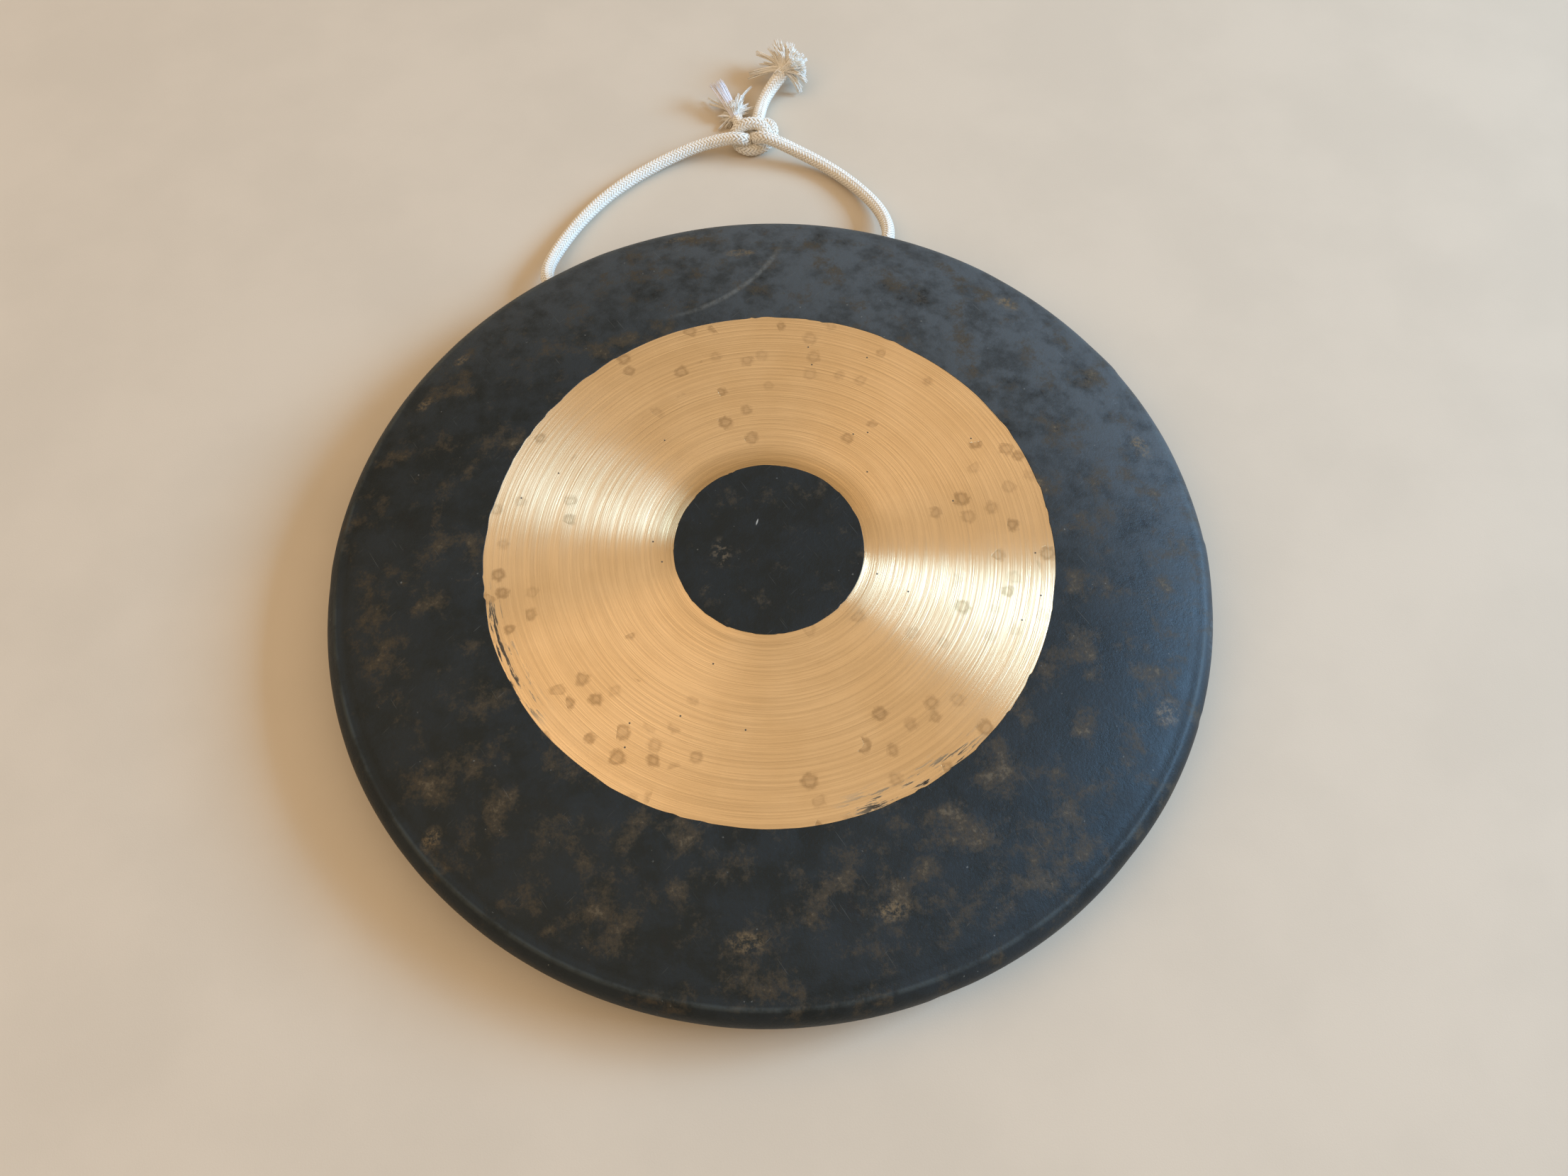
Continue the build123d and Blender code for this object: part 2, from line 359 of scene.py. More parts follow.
def core_bundle(name, root, tip, width, thickness, material):
    """The core of the cord, drawn out of its sheath: a flat sheaf of straight white fibres."""
    chance = np.random.default_rng(13)
    shape = Shape()
    root, tip = np.array(root), np.array(tip)
    across = unit(np.cross(tip - root, (0.0, 0.0, 1.0)))
    over = unit(np.cross(across, tip - root))
    for place in np.linspace(-0.5, 0.5, 15):
        for layer in (-0.5, 0.0, 0.5):
            aside = (place + chance.normal(0, 0.02)) * width
            above = layer * thickness * math.cos(place * math.pi) + chance.normal(0, 0.0001)
            end = tip + across * aside + over * above + unit(tip - root) * chance.normal(0, 0.0007)
            start = root + across * aside * 0.45 + over * above * 0.7
            bend = (start + end) / 2 + over * 0.0012
            start[2] = max(start[2], 0.0008)
            loose_fibres(shape, bent_line(start, bend, end, 10), 0.00052, 0.2, 6, chance)
    return shape.make(name, material)


def lay_on_loop(piece, node):
    """Gives a frayed end to the loop, in place of its CAD node."""
    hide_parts(node)
    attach(piece, "cord_loop")


def make_cords(braid, yarn, core):
    inner, line, length = braided_cord("cord_inside_rim", BEHIND_RIM, braid)
    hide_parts("cord_behind_rim")
    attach(inner, "gong")

    left, line, length = braided_cord("strand_left", LEFT_STRAND, braid)
    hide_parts("cord_left", "tail_short")
    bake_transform(left)
    end, axis = line[-1], line[-1] - line[-4]
    yarns = fan_of_yarns("yarns_short_end", end, axis, sheath_tips(), SHEATH_YARN, yarn, seed=31)
    lay_on_loop(yarns, "frayed_end_short")
    sheaf = core_bundle("core_short_end", end, CORE_TIP, width=0.0070, thickness=0.0024, material=core)
    lay_on_loop(sheaf, "core_end_short")

    right, line, length = braided_cord("strand_right", RIGHT_STRAND, braid, swelling=0.12)
    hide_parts("cord_right", "cord_knot", "tail_long")
    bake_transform(right)
    end, axis = line[-1], line[-1] - line[-4]
    brush = fan_of_yarns("yarns_long_end", end, axis, brush_tips(), BRUSH_YARN, yarn, seed=32)
    lay_on_loop(brush, "frayed_end_long")


# ---------------------------------------------------------------- disc


def segment_angles():
    return np.arange(SEGMENTS) * 2 * math.pi / SEGMENTS


def uneven_edge(facets, roughness, seed):
    """How far a circle made by hand is off its radius at each segment, in facets of uneven length."""
    chance = np.random.default_rng(seed)
    corners = np.sort(chance.uniform(0, 2 * math.pi, facets))
    offsets = chance.normal(0.0, roughness, facets)
    return np.interp(segment_angles(), corners, offsets, period=2 * math.pi)


def spread(start, end, steps):
    """Even steps from the start to just short of the end, where the next stretch begins."""
    return np.linspace(start, end, steps, endpoint=False)


def ridge(radii, middle, half_width, height):
    """The height of a soft round ridge at each of the radii."""
    return height * np.exp(-((radii - middle) / half_width) ** 2)


def sheet_outline():
    """The outlines of the CAD disc, as (radius, height), from rays cast at it from both sides.

    Returns the outer and the inner one, from the centre to the rim's foot, the lip that joins them,
    and how many points of each lie on the face.
    """
    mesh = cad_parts["gong_disc"].data
    tree = BVHTree.FromPolygons([v.co for v in mesh.vertices], [p.vertices for p in mesh.polygons])

    def hit(radius, height, outward, upward):
        place = tree.ray_cast(Vector((0.0, -radius, height)), Vector((0.0, -outward, upward)))[0]
        return -place.y, place.z

    above, below, outside, inside, away = 0.06, -0.01, 0.20, 0.15, 0.05  # where the rays start
    lip_height, lip_away = 0.0008, 0.01
    middle, high = SHOULDER_CENTRE
    face = np.linspace(0.0002, FACE_END, 165)
    edge = np.linspace(FACE_END + 0.001, FACE_END + 0.004, 4)
    bends = np.radians(np.concatenate([spread(76, 48, 8), np.linspace(48, -8, 8)]))
    rims = np.linspace(RIM_TOP, RIM_FOOT, 7)
    outer = [hit(r, above, 0, -1) for r in np.concatenate([face, edge])]
    outer += [hit(middle + away * math.cos(a), high + away * math.sin(a), -math.cos(a), -math.sin(a))
              for a in bends]
    outer += [hit(outside, z, -1, 0) for z in rims]
    inner = [hit(r, below, 0, 1) for r in face]
    inner += [hit(middle, high, math.cos(a), math.sin(a)) for a in bends]
    inner += [hit(inside, z, 1, 0) for z in rims]
    lip_middle = (outer[-1][0] + inner[-1][0]) / 2
    turns = np.radians((-40, -90, -140))
    lip = [hit(lip_middle + lip_away * math.cos(a), lip_height + lip_away * math.sin(a),
               -math.cos(a), -math.sin(a)) for a in turns]
    return np.array(outer), np.array(inner), np.array(lip), len(face)


def hammered(x, y):
    """How far the beaten sheet stands above or below its true form, from many broad soft blows."""
    chance = np.random.default_rng(11)
    height = np.zeros_like(x)
    for _ in range(BLOWS):
        radius, angle = BEATEN * math.sqrt(chance.uniform(0.05, 1.0)), chance.uniform(0, 2 * math.pi)
        width, depth = chance.uniform(0.009, 0.024), chance.normal(0.0, 0.00007)
        away = (x - radius * math.cos(angle)) ** 2 + (y - radius * math.sin(angle)) ** 2
        height += depth * np.exp(-away / (2 * width**2))
    return height


def face_radii():
    """The radii of the face's rows, closest at the steps, and which of them lie on the scraped ring.

    Each stretch has its start, its end and its number of rows.
    """
    dark_disc = np.concatenate([spread(0.001, CENTRE_DISC - 0.002, 18),
                                spread(CENTRE_DISC - 0.002, CENTRE_DISC - STEP_WIDTH, 3),
                                [CENTRE_DISC - STEP_WIDTH]])
    ring = np.concatenate([spread(CENTRE_DISC, CENTRE_DISC + 0.008, 12),
                           spread(CENTRE_DISC + 0.008, SCRAPED_RING - 0.004, 42),
                           np.linspace(SCRAPED_RING - 0.004, SCRAPED_RING - STEP_WIDTH, 5)])
    band = np.concatenate([spread(SCRAPED_RING, SCRAPED_RING + 0.004, 4),
                           np.linspace(SCRAPED_RING + 0.004, FACE_END, 32)])
    radii = np.concatenate([dark_disc, ring, band])
    return radii, np.isin(radii, ring)


def disc_rows():
    """Rows of points round the whole sheet, from the middle of its face to the middle of its back."""
    outer, inner, lip, face_count = sheet_outline()
    angles = segment_angles()
    flats = uneven_edge(44, 0.00016, 9)

    def face_rows(radii, outline, shift):
        """Rows of the face or of its underside, each shifted outward by so much at each segment."""
        wide = radii[:, None] + shift
        x, y = wide * np.cos(angles), wide * np.sin(angles)
        z = np.interp(wide, outline[:face_count, 0], outline[:face_count, 1])
        return np.stack([x, y, z + hammered(x, y)], axis=-1)

    def bent_rows(outline, lift=0.0):
        """The shoulder and the rim, not quite round, with hammering that fades out down the rim."""
        wide = outline[:, :1] + np.clip((outline[:, :1] - FACE_END) / 0.006, 0, 1) * flats
        x, y = wide * np.cos(angles), wide * np.sin(angles)
        keep = np.clip((outline[:, 1:] - 0.006) / 0.020, 0, 1)
        return np.stack([x, y, outline[:, 1:] + keep * hammered(x, y) + lift], axis=-1)

    radii, scraped = face_radii()
    # the two edges of the scraped ring waver a little
    near_disc = np.clip(1 - np.abs(radii - CENTRE_DISC) / EDGE_REACH, 0, 1)
    near_band = np.clip(1 - np.abs(radii - SCRAPED_RING) / EDGE_REACH, 0, 1)
    shift = near_disc[:, None] * uneven_edge(90, 0.00012, 3)
    shift += near_band[:, None] * uneven_edge(150, 0.00022, 5)
    top = face_rows(radii, outer, shift)
    top[..., 2] -= np.where(scraped, OXIDE + ridge(radii, *VALLEY), 0.0)[:, None]
    under = face_rows(np.linspace(FACE_END, 0.001, 32), inner, np.zeros(SEGMENTS))
    # the crease is a ridge with a groove inside it, and fades away from the near side
    bent = outer[face_count:]
    crease = ridge(bent[:, 0], *CREASE_RIDGE) - ridge(bent[:, 0], *CREASE_GROOVE)
    near = np.clip(0.5 + np.cos(angles - CREASE_FACING), 0, 1)
    rows = np.concatenate([top, bent_rows(bent, crease[:, None] * near), bent_rows(lip),
                           bent_rows(inner[face_count:][::-1]), under])
    row_scraped = np.zeros(len(rows), bool)
    row_scraped[:len(scraped)] = scraped
    return rows, row_scraped


def make_disc(oxide, bronze):
    """The beaten sheet: one closed mesh of all its rows, with bronze where the ring is scraped."""
    rows, row_scraped = disc_rows()
    count = len(rows)
    grid = np.arange(count * SEGMENTS).reshape(count, SEGMENTS)
    ahead = np.roll(grid, -1, axis=1)
    quads = np.stack([grid[:-1], grid[1:], ahead[1:], ahead[:-1]], axis=-1).reshape(-1, 4)
    bright = np.repeat(row_scraped[:-1] & row_scraped[1:], SEGMENTS)
    faces = quads.tolist() + [grid[0].tolist(), grid[-1, ::-1].tolist()]
    mesh = bpy.data.meshes.new("beaten_disc")
    mesh.from_pydata(rows.reshape(-1, 3).tolist(), [], faces)
    mesh.materials.append(oxide)
    mesh.materials.append(bronze)
    mesh.polygons.foreach_set("material_index", np.append(bright, (False, False)).astype(np.int32))
    disc = bpy.data.objects.new("beaten_disc", mesh)
    bpy.context.scene.collection.objects.link(disc)
    drill(disc)
    disc.data.shade_smooth()
    disc.data.set_sharp_from_angle(angle=math.radians(32))
    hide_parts("gong_disc")
    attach(disc, "gong")


def drill(disc):
    """The two holes that the cord passes through."""
    drills, sides = [], 32
    for side in (-1, 1):
        outward = Vector((side * math.sin(HOLE_ANGLE), math.cos(HOLE_ANGLE), 0))
        shape = Shape()
        turns = np.arange(sides) * 2 * math.pi / sides
        sideways = np.array(outward.cross(Vector((0, 0, 1))))
        upward = np.array((0.0, 0.0, 1.0))
        circle = HOLE_RADIUS * (np.cos(turns)[:, None] * sideways + np.sin(turns)[:, None] * upward)
        ends = [np.array(outward) * radius + (0, 0, HOLE_HEIGHT) for radius in (0.160, 0.185)]
        rings = np.array(ends)[:, None, :] + circle
        shape.tube(rings, np.zeros_like(rings))
        cutter = shape.make("drill", None)
        cut = disc.modifiers.new("hole", "BOOLEAN")
        cut.object, cut.operation, cut.solver = cutter, "DIFFERENCE", "EXACT"
        drills.append(cutter)
    solid = disc.evaluated_get(bpy.context.evaluated_depsgraph_get())
    drilled = bpy.data.meshes.new_from_object(solid)
    disc.modifiers.clear()
    disc.data = drilled
    for cutter in drills:
        bpy.data.objects.remove(cutter)


# ---------------------------------------------------------------- materials


class Shader:
    """One material, and short ways to add nodes to it. Values may be numbers or sockets."""

    def __init__(self, name, **constants):
        self.material = bpy.data.materials.new(name)
        self.material.use_nodes = True
        self.tree = self.material.node_tree
        self.surface = self.tree.nodes["Principled BSDF"]
        for socket, value in constants.items():
            self.surface.inputs[socket.replace("_", " ")].default_value = value

    def put(self, socket, value):
        if isinstance(value, bpy.types.NodeSocket):
            self.tree.links.new(value, socket)
        else:
            socket.default_value = value

    def add(self, kind, inputs=None, **settings):
        node = self.tree.nodes.new("ShaderNode" + kind)
        for name, value in settings.items():
            setattr(node, name, value)
        for key, value in (inputs or {}).items():
            self.put(node.inputs[key], value)
        return node.outputs

    def math(self, operation, *values, **settings):
        return self.add("Math", dict(enumerate(values)), operation=operation, **settings)[0]

    def noise(self, vector, scale, detail=4.0, roughness=0.55):
        inputs = {"Vector": vector, "Scale": scale, "Detail": detail, "Roughness": roughness}
        return self.add("TexNoise", inputs)[0]

    def rise(self, value, low, high, start=0.0, end=1.0):
        inputs = {"Value": value, "From Min": low, "From Max": high, "To Min": start, "To Max": end}
        return self.add("MapRange", inputs, interpolation_type="SMOOTHSTEP")[0]

    def mix(self, factor, first, second):
        return self.add("Mix", {0: factor, 6: first, 7: second}, data_type="RGBA")[2]

    def join(self, x, y, z):
        return self.add("CombineXYZ", {0: x, 1: y, 2: z})[0]

    def away(self, x, y, middle=(0.0, 0.0)):
        """How far a place lies from the middle."""
        x, y = self.math("SUBTRACT", x, middle[0]), self.math("SUBTRACT", y, middle[1])
        return self.math("SQRT", self.math("MULTIPLY_ADD", x, x, self.math("MULTIPLY", y, y)))

    def patch(self, x, y, middle, halves, turn=0.0):
        """One soft oval patch, turned by so many degrees."""
        east, north = math.cos(math.radians(turn)), math.sin(math.radians(turn))
        x, y = self.math("SUBTRACT", x, middle[0]), self.math("SUBTRACT", y, middle[1])
        across = self.math("ADD", self.math("MULTIPLY", x, east), self.math("MULTIPLY", y, north))
        along = self.math("SUBTRACT", self.math("MULTIPLY", y, east), self.math("MULTIPLY", x, north))
        away = self.away(self.math("DIVIDE", across, halves[0]), self.math("DIVIDE", along, halves[1]))
        return self.rise(away, 0.35, 1.0, 1.0, 0.0)

    def scatter(self, place, per_millimetre, **settings):
        """How far the nearest of many scattered points is, and three random values of that point."""
        cells = self.add("TexVoronoi", {"Vector": place, "Scale": per_millimetre}, **settings)
        distance = self.math("DIVIDE", cells["Distance"], per_millimetre)
        return distance, *self.add("SeparateColor", {0: cells["Color"]})[:3]

    def bump(self, height, depth):
        inputs = {"Height": height, "Distance": depth}
        self.put(self.surface.inputs["Normal"], self.add("Bump", inputs)[0])

    def millimetres(self):
        """The place on the piece and its distance from the axis, in millimetres."""
        place = self.add("TexCoord")["Object"]
        place = self.add("VectorMath", {0: place, "Scale": 1000.0}, operation="SCALE")[0]
        x, y = self.add("SeparateXYZ", {0: place})[:2]
        return place, x, y, self.away(x, y)


def colour(red, green, blue):
    return (red, green, blue, 1.0)


GROOVE_STRETCH, STREAK_STRETCH = 1.2, 12.0  # how often grooves and streaks change on their way round
STREAK_ANGLES = [math.radians(degrees) for degrees in (-69, -164)]  # where streaks of scale are left


def scraped_bronze():
    """Bright brushed bronze, with scraper marks round it and the faint round marks of the hammer."""
    shader = Shader("scraped_bronze", Metallic=1.0, Roughness=0.32, Anisotropic=1.0,
                    Anisotropic_Rotation=0.25)
    place, x, y, radius = shader.millimetres()
    east, north = shader.math("DIVIDE", x, radius), shader.math("DIVIDE", y, radius)
    tangent = shader.add("Tangent", direction_type="RADIAL", axis="Z")[0]
    shader.put(shader.surface.inputs["Tangent"], tangent)
    polar = shader.join(radius, shader.math("MULTIPLY", east, GROOVE_STRETCH),
                        shader.math("MULTIPLY", north, GROOVE_STRETCH))
    grooves = shader.noise(polar, 0.95, 2.0, 0.6)
    fine = shader.noise(polar, 2.6, 3.0, 0.7)
    cloud = shader.noise(place, 0.035, 3.0)
    base = shader.mix(shader.rise(cloud, 0.35, 0.65), colour(0.79, 0.585, 0.35),
                      colour(0.84, 0.635, 0.395))
    base = shader.mix(shader.rise(grooves, 0.40, 0.62, 0.0, 0.05), base, colour(0.66, 0.46, 0.25))
    # the inner edge, darker towards the far side: painted shade of the scraper's dip
    dip_shade = shader.rise(north, -0.4, 0.6, 0.1, 0.9)
    dip_shade = shader.math("MULTIPLY", dip_shade, shader.rise(radius, 50.0, 37.0))
    base = shader.mix(dip_shade, base, colour(0.50, 0.345, 0.175))
    # the round marks of the hammer, in loose groups, which the scraper has just missed
    distance, chance, size, depth = shader.scatter(place, 0.105, voronoi_dimensions="2D")
    wobble = shader.math("MULTIPLY", shader.math("SUBTRACT", shader.noise(place, 0.45, 3.0), 0.5), 3.4)
    distance = shader.math("ADD", distance, wobble)
    distance = shader.math("ADD", distance, shader.math("MULTIPLY", size, 1.1))
    spot = shader.rise(distance, 2.0, 4.0, 1.0, 0.0)
    rim = shader.math("MULTIPLY", spot, shader.rise(distance, 1.0, 2.4))
    group = shader.rise(shader.noise(place, 0.022, 2.0), 0.42, 0.60, 0.25, 1.0)
    share = shader.math("MULTIPLY", shader.rise(radius, 56.0, 98.0, 0.08, 0.60), group)
    present = shader.math("LESS_THAN", chance, share)
    present = shader.math("MULTIPLY", present, shader.rise(depth, 0.0, 1.0, 0.35, 1.0))
    spot = shader.math("MULTIPLY", spot, present)
    rim = shader.math("MULTIPLY", rim, present)
    base = shader.mix(shader.math("MULTIPLY", spot, 0.46), base, colour(0.48, 0.30, 0.13))
    base = shader.mix(shader.math("MULTIPLY", rim, 0.36), base, colour(0.26, 0.15, 0.06))
    # specks of oxide left behind, and streaks at two places along the outer edge
    distance, _, chance, _ = shader.scatter(place, 0.11, voronoi_dimensions="2D")
    dot = shader.rise(distance, 0.20, 0.50, 1.0, 0.0)
    left = shader.math("MULTIPLY", dot, shader.math("LESS_THAN", chance, 0.06))
    long_polar = shader.join(radius, shader.math("MULTIPLY", east, STREAK_STRETCH),
                             shader.math("MULTIPLY", north, STREAK_STRETCH))
    streak = shader.rise(shader.noise(long_polar, 0.7, 4.0, 0.65), 0.54, 0.60)
    streak = shader.math("MULTIPLY", streak, shader.rise(radius, 100.0, 109.0))
    for angle in STREAK_ANGLES:
        facing = shader.math("MULTIPLY", north, math.sin(angle))
        facing = shader.math("MULTIPLY_ADD", east, math.cos(angle), facing)
        here = shader.math("MULTIPLY", streak, shader.rise(facing, 0.95, 0.99))
        left = shader.math("MAXIMUM", left, here)
    base = shader.mix(left, base, colour(0.025, 0.020, 0.015))
    shader.put(shader.surface.inputs["Base Color"], base)
    tarnish = shader.math("ADD", left, shader.math("MULTIPLY", spot, 0.12))
    shader.put(shader.surface.inputs["Metallic"], shader.math("SUBTRACT", 1.0, tarnish, use_clamp=True))
    rough = shader.rise(grooves, 0.35, 0.65, 0.29, 0.37)
    rough = shader.math("ADD", rough, shader.math("MULTIPLY", spot, 0.04))
    shader.put(shader.surface.inputs["Roughness"], rough)
    height = shader.math("ADD", grooves, shader.math("MULTIPLY", fine, 0.35))
    height = shader.math("SUBTRACT", height, shader.math("MULTIPLY", spot, 0.05))
    shader.bump(height, 0.00028)
    return shader.material


# places on the scale where it has chipped to tan metal, and a cool grey stripe along the right
# shoulder, partly worn and partly a painted reflection of the window:
# middle and half sizes in millimetres, turn in degrees, and tint
TAN, GREY_WEAR_AND_GLINT = colour(0.165, 0.115, 0.058), colour(0.07, 0.09, 0.10)
CHIPS = [
    ((-132.0, 92.0), (5.5, 3.5), 30.0, TAN),
    ((-116.0, 113.0), (5.0, 3.0), 40.0, TAN),
    ((-135.0, -93.0), (4.5, 6.0), -35.0, TAN),
    ((-84.0, -36.0), (3.0, 5.0), 0.0, TAN),
    ((22.0, -143.0), (9.0, 5.0), 5.0, TAN),
    ((-29.0, -146.0), (9.0, 5.0), -10.0, TAN),
    ((136.0, -87.0), (8.0, 6.0), 40.0, TAN),
    ((157.0, 26.0), (5.0, 8.0), 10.0, TAN),
    ((120.0, 106.0), (7.0, 5.0), -45.0, TAN),
    ((9.0, 150.0), (9.0, 3.0), -5.0, TAN),
    ((-16.0, 165.0), (9.0, 2.5), 6.0, TAN),
    # partly worn, partly a painted reflection of the window along the shoulder
    ((165.0, -58.0), (4.0, 26.0), -20.0, GREY_WEAR_AND_GLINT),
]
LONG_SCRATCH = ((-32.0, 183.0), 67.0)  # middle and radius of its arc, in millimetres
SCRATCHED = ((0.0, 136.0), (46.0, 34.0))  # the oval that the arc shows in: middle and half sizes
SCUFF = ((-18.5, 0.5), (5.0, 8.0))  # on the dark disc: middle and half sizes
NICK = ((-3.0, 11.6), (0.4, 1.8), -24.0)  # beside it: middle, half sizes and turn


def scale_and_rust(shader, place, x, y, radius, mottle, grain):
    """The colour of the scale with its rust and a painted sheen of the window, and how brown it is."""
    broad = shader.noise(place, 0.016, 3.0)
    elsewhere = shader.add("VectorMath", {0: place, 1: (300.0, 40.0, 7.0)})[0]
    blotch = shader.noise(elsewhere, 0.072, 10.0, 0.66)
    base = shader.mix(shader.rise(mottle, 0.38, 0.62), colour(0.0042, 0.0061, 0.0058),
                      colour(0.0108, 0.0138, 0.0150))
    base = shader.mix(shader.rise(broad, 0.45, 0.65, 0.0, 0.3), base, colour(0.022, 0.027, 0.031))
    # a painted sheen of the window on the far side, and a darker middle
    far = shader.math("MULTIPLY_ADD", shader.math("MAXIMUM", x, -40.0), 0.8, y)
    painted_sheen = shader.rise(mottle, 0.34, 0.60, 0.4, 1.0)
    painted_sheen = shader.math("MULTIPLY", painted_sheen, shader.rise(far, 20.0, 190.0))
    base = shader.mix(painted_sheen, base, colour(0.064, 0.072, 0.076))
    inside = shader.rise(radius, 42.0, 34.0, 0.0, 0.5)
    base = shader.mix(inside, base, colour(0.0078, 0.0080, 0.0066))
    # brown rust of the fire, strongest towards the near side and the band's outside, but not the rim
    near = shader.rise(shader.math("MULTIPLY_ADD", x, -0.6, y), 90.0, -150.0, -0.012, 0.020)
    outside = shader.rise(radius, 40.0, 150.0, -0.045, 0.020)
    rust = shader.math("ADD", shader.math("ADD", blotch, near), outside)
    rust = shader.math("ADD", rust, shader.math("MULTIPLY", shader.math("SUBTRACT", grain, 0.5), 0.30))
    rust = shader.math("SUBTRACT", rust, shader.rise(radius, 162.0, 167.0, 0.0, 0.050))
    brown = shader.rise(rust, 0.51, 0.68, 0.0, 0.85)
    base = shader.mix(brown, base, colour(0.052, 0.038, 0.021))
    base = shader.mix(shader.rise(rust, 0.655, 0.735), base, colour(0.095, 0.072, 0.042))
    black = shader.rise(shader.math("ADD", mottle, shader.math("MULTIPLY", grain, 0.25)), 0.50, 0.44)
    return shader.mix(shader.math("MULTIPLY", black, 0.6), base, colour(0.006, 0.006, 0.006)), brown


def fine_marks(shader, place, x, y, radius, ragged):
    """How much of each place is a pale fleck or a fine straight scratch."""
    distance, chance, size, _ = shader.scatter(place, 0.4)
    fleck = shader.math("ADD", distance, shader.math("MULTIPLY", size, 0.25))
    fleck = shader.math("ADD", fleck, shader.rise(ragged, 0.35, 0.65, -0.3, 0.5))
    fleck = shader.rise(fleck, 0.12, 0.45, 1.0, 0.0)
    rare = shader.math("LESS_THAN", chance, 0.08)
    pale = shader.math("MULTIPLY", shader.math("MULTIPLY", fleck, rare), 0.50)
    inner = shader.rise(radius, 166.0, 158.0)
    for slope, stretch in ((0.5, 0.045), (-1.4, 0.055)):
        lean = shader.math("MULTIPLY_ADD", y, slope, x)
        level = shader.math("MULTIPLY", shader.math("MULTIPLY_ADD", x, -slope, y), stretch)
        line = shader.noise(shader.join(shader.math("MULTIPLY", lean, 1.5), level, 0.0), 1.0, 1.0)
        line = shader.math("MULTIPLY", shader.rise(line, 0.735, 0.80, 0.0, 0.20), inner)
        pale = shader.math("MAXIMUM", pale, line)
    return pale


def long_scratch(shader, x, y, ragged):
    """How much of each place is the long curved scratch on the far side of the band."""
    middle, reach = LONG_SCRATCH
    scratch = shader.math("ABSOLUTE", shader.math("SUBTRACT", shader.away(x, y, middle), reach))
    scratch = shader.rise(scratch, 0.20, 1.80, 0.34, 0.0)
    scratch = shader.math("MULTIPLY", scratch, shader.patch(x, y, *SCRATCHED))
    return shader.math("MULTIPLY", scratch, shader.rise(ragged, 0.35, 0.60, 0.3, 1.0))


def forging_oxide():
    """Blue-black scale of the forge, with rust, chips, scratches, the wear of handling, and painted
    highlights of the window on the shoulder.
    """
    shader = Shader("forging_oxide", Roughness=0.5, Specular_IOR_Level=0.33,
                    Specular_Tint=colour(0.83, 0.93, 1.0))
    place, x, y, radius = shader.millimetres()
    mottle = shader.noise(place, 0.075, 8.0, 0.66)
    grain = shader.noise(place, 0.8, 7.0, 0.72)
    ragged = shader.noise(place, 0.42, 6.0, 0.75)
    upward = shader.add("SeparateXYZ", {0: shader.add("TexCoord")["Normal"]})[2]
    on_face = shader.rise(upward, 0.15, 0.45)
    base, brown = scale_and_rust(shader, place, x, y, radius, mottle, grain)
    for middle, halves, turn, tint in CHIPS:
        chip = shader.patch(x, y, middle, halves, turn)
        chip = shader.math("MULTIPLY", chip, shader.rise(ragged, 0.40, 0.68, 0.0, 0.9))
        base = shader.mix(shader.math("MULTIPLY", chip, on_face), base, tint)
    # the crease of the shoulder, a little paler: partly worn by handling, partly a painted highlight of
    # its ridge
    rubbed_and_highlight = shader.math("ABSOLUTE", shader.math("SUBTRACT", radius, 1000 * CREASE))
    rubbed_and_highlight = shader.rise(rubbed_and_highlight, 1.3, 0.2)
    rubbed_and_highlight = shader.math("MULTIPLY", rubbed_and_highlight, shader.rise(mottle, 0.40, 0.60, 0.1, 0.45))
    base = shader.mix(rubbed_and_highlight, base, colour(0.060, 0.072, 0.070))
    scratch = shader.math("MULTIPLY", long_scratch(shader, x, y, ragged), on_face)
    pale = shader.math("MAXIMUM", fine_marks(shader, place, x, y, radius, ragged), scratch)
    base = shader.mix(pale, base, colour(0.21, 0.21, 0.19))
    # the scuff and the nick on the dark disc
    scuff = shader.patch(x, y, *SCUFF)
    scuff = shader.math("MULTIPLY", scuff, shader.rise(shader.noise(place, 0.35, 6.0, 0.7), 0.50, 0.60))
    scuff = shader.math("MULTIPLY", scuff, shader.math("MULTIPLY", on_face, 0.7))
    base = shader.mix(scuff, base, colour(0.120, 0.092, 0.058))
    nick = shader.math("MULTIPLY", on_face, shader.patch(x, y, *NICK))
    base = shader.mix(nick, base, colour(0.36, 0.35, 0.32))
    shader.put(shader.surface.inputs["Base Color"], base)
    rough = shader.rise(mottle, 0.35, 0.65, 0.44, 0.56)
    rough = shader.math("ADD", rough, shader.math("MULTIPLY", brown, 0.14))
    shader.put(shader.surface.inputs["Roughness"], rough)
    height = shader.math("ADD", shader.math("MULTIPLY", mottle, 2.5), grain)
    shader.bump(height, 0.00016)
    return shader.material


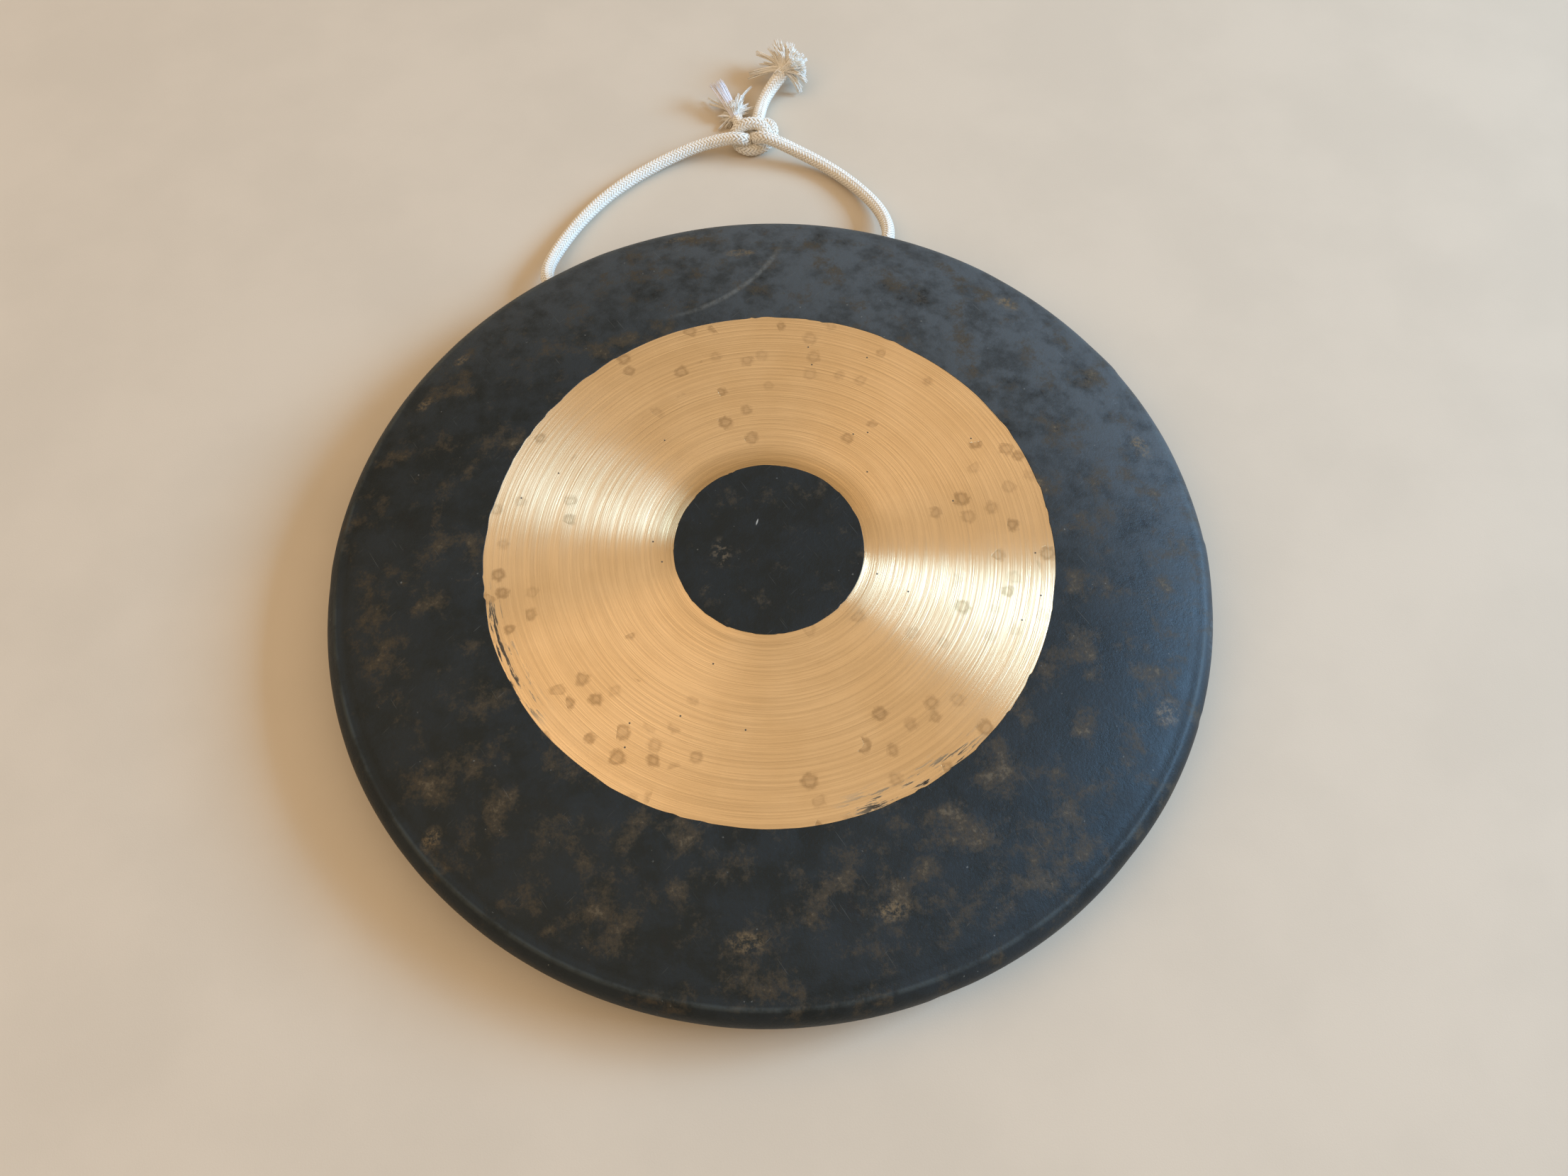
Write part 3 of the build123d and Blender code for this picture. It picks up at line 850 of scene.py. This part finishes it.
def cotton(name, light, dark, shade, weave):
    """Cotton yarn with fine fibres along each strand, of a light and a dark tone.

    Shade is how much darker the sides of each yarn are, and weave is the depth of its fibres.
    """
    shader = Shader(name, Roughness=0.9, Sheen_Weight=0.25, Sheen_Roughness=0.5, Specular_IOR_Level=0.2)
    strand = shader.add("Attribute", attribute_name="strand")["Vector"]
    along, across, seed = shader.add("SeparateXYZ", {0: strand})[:3]
    along = shader.math("MULTIPLY", along, 1000.0)
    fibres = shader.join(shader.math("MULTIPLY", along, 0.6), shader.math("MULTIPLY", across, 3.2),
                         shader.math("MULTIPLY", seed, 7.3))
    fibre = shader.noise(fibres, 1.6, 4.0, 0.6)
    patch = shader.noise(shader.join(shader.math("MULTIPLY", along, 0.12), seed, seed), 1.0, 3.0)
    base = shader.mix(shader.rise(fibre, 0.36, 0.60), dark, light)
    base = shader.mix(shader.rise(patch, 0.48, 0.68, 0.0, 0.45), base, dark)
    # the sides of each yarn lie in the shade of the next
    side = shader.rise(shader.math("ABSOLUTE", across), 0.45, 1.0, 0.0, shade)
    base = shader.mix(side, base, colour(0.36, 0.29, 0.20))
    # the core inside the braid, painted dark as painted shade where it shows between the yarns
    core = shader.math("LESS_THAN", seed, -0.5)
    base = shader.mix(core, base, colour(0.30, 0.24, 0.17))
    shader.put(shader.surface.inputs["Base Color"], base)
    shader.bump(fibre, weave)
    return shader.material


def pale_floor():
    """A plain pale floor, a little cloudy."""
    shader = Shader("pale_floor", Roughness=0.7, Specular_IOR_Level=0.25)
    place = shader.millimetres()[0]
    tone = shader.noise(place, 0.012, 5.0)
    base = shader.mix(shader.rise(tone, 0.35, 0.65), colour(0.590, 0.505, 0.395),
                      colour(0.620, 0.530, 0.415))
    shader.put(shader.surface.inputs["Base Color"], base)
    shader.bump(shader.noise(place, 1.5, 4.0), 0.00003)
    return shader.material


# ---------------------------------------------------------------- room


def make_floor():
    """The floor that the gong lies on, which is no part of it."""
    side = 9.0
    mesh = bpy.data.meshes.new("floor")
    corners = [(-side, -side, 0), (side, -side, 0), (side, side, 0), (-side, side, 0)]
    mesh.from_pydata(corners, [], [(0, 1, 2, 3)])
    mesh.materials.append(pale_floor())
    floor = bpy.data.objects.new("floor", mesh)
    bpy.context.scene.collection.objects.link(floor)


WARM = (1.0, 0.80, 0.58)


def make_light(name, azimuth, elevation, distance, size, power, tint):
    """A rectangle of light, aimed at the origin from an azimuth and an elevation in degrees."""
    data = bpy.data.lights.new(name, "AREA")
    data.shape, data.size, data.size_y = "RECTANGLE", *size
    data.energy, data.color = power, tint
    light = bpy.data.objects.new(name, data)
    turn, rise = math.radians(azimuth), math.radians(elevation)
    away = Vector((math.cos(turn) * math.cos(rise), math.sin(turn) * math.cos(rise), math.sin(rise)))
    light.location = distance * away
    light.rotation_mode = "QUATERNION"
    light.rotation_quaternion = (-away).to_track_quat("-Z", "Y")
    bpy.context.scene.collection.objects.link(light)


def make_lights():
    """Warm light from the room, its ceiling and a lamp, and cool light from a window at the right."""
    world = bpy.data.worlds.new("room")
    world.use_nodes = True
    sky = world.node_tree.nodes["Background"]
    sky.inputs["Color"].default_value = colour(*WARM)
    sky.inputs["Strength"].default_value = 0.38
    bpy.context.scene.world = world
    make_light("ceiling", 0, 90, 2.6, (6.0, 6.0), 58.0, WARM)
    make_light("lamp", 188, 50, 2.4, (2.2, 2.2), 10.0, (1.0, 0.68, 0.40))
    # a window, brightest at its far edge
    for part, (azimuth, power) in enumerate(((8.5, 66.0), (-2.5, 44.0), (-13.5, 32.0))):
        make_light(f"window_{part}", azimuth, 26, 3.0, (0.58, 1.06), power, (0.35, 0.64, 1.0))
    bpy.context.scene.view_settings.view_transform = "Standard"


# ---------------------------------------------------------------- build

make_camera()
make_cords(cotton("braid_cotton", colour(0.97, 0.93, 0.85), colour(0.76, 0.69, 0.57), 0.65, 0.00012),
           cotton("yarn_cotton", colour(0.93, 0.90, 0.83), colour(0.78, 0.71, 0.60), 0.15, 0.00006),
           cotton("core_cotton", colour(0.90, 0.89, 0.92), colour(0.72, 0.69, 0.73), 0.0, 0.00005))
make_disc(forging_oxide(), scraped_bronze())
make_floor()
make_lights()
